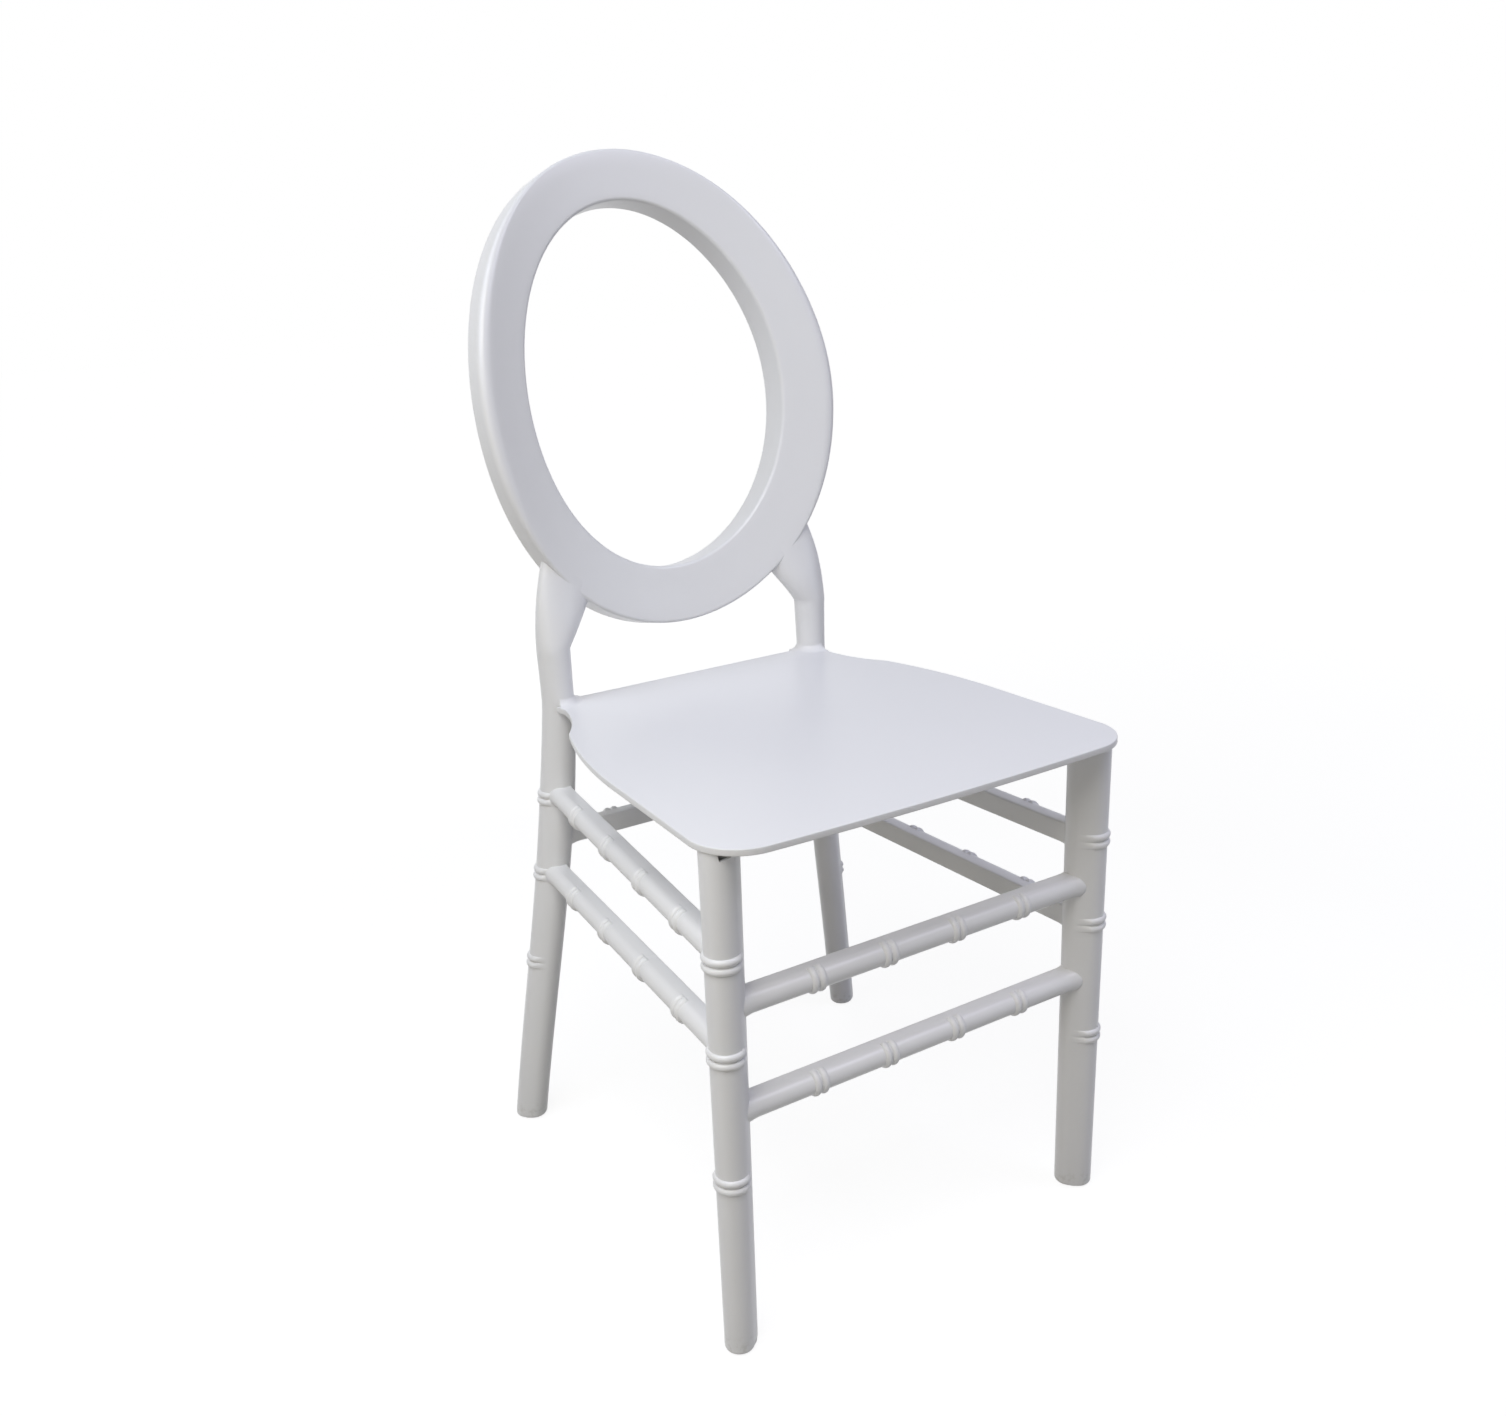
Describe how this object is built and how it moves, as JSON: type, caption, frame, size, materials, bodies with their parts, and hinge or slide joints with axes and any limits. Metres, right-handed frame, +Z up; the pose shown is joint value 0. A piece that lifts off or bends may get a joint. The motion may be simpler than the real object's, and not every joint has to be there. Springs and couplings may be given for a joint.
{
  "type": "dining chair",
  "caption": "Armless dining chair in glossy white moulded resin, with an open oval hoop back, ringed bamboo-style legs and stretchers, and a thin flat seat.",
  "frame": {"origin": "on the floor, under the middle of the chair's overall box", "axes": "+Z up; the sitter faces -Y; +X is the right-hand side seen from the front"},
  "size_m": [0.4122, 0.5122, 0.9163],
  "materials": {
    "resin_white": "gloss",
    "glide_nylon": "matt",
    "screw_steel": "zinc plated"
  },
  "bodies": {
    "root": {"back_hoop": "resin_white", "rear_leg_left": "resin_white", "rear_leg_right": "resin_white", "front_leg_left": "resin_white", "front_leg_right": "resin_white", "seat_panel": "resin_white", "front_stretcher_upper": "resin_white", "front_stretcher_lower": "resin_white", "side_stretcher_left_upper": "resin_white", "side_stretcher_left_lower": "resin_white", "side_stretcher_right_upper": "resin_white", "side_stretcher_right_lower": "resin_white", "rear_stretcher": "resin_white", "foot_glide_front_left": "glide_nylon", "foot_glide_front_right": "glide_nylon", "foot_glide_rear_left": "glide_nylon", "foot_glide_rear_right": "glide_nylon", "hoop_screws": "screw_steel", "front_seat_screws": "screw_steel", "rear_seat_screws": "screw_steel"}
  },
  "joints": []
}
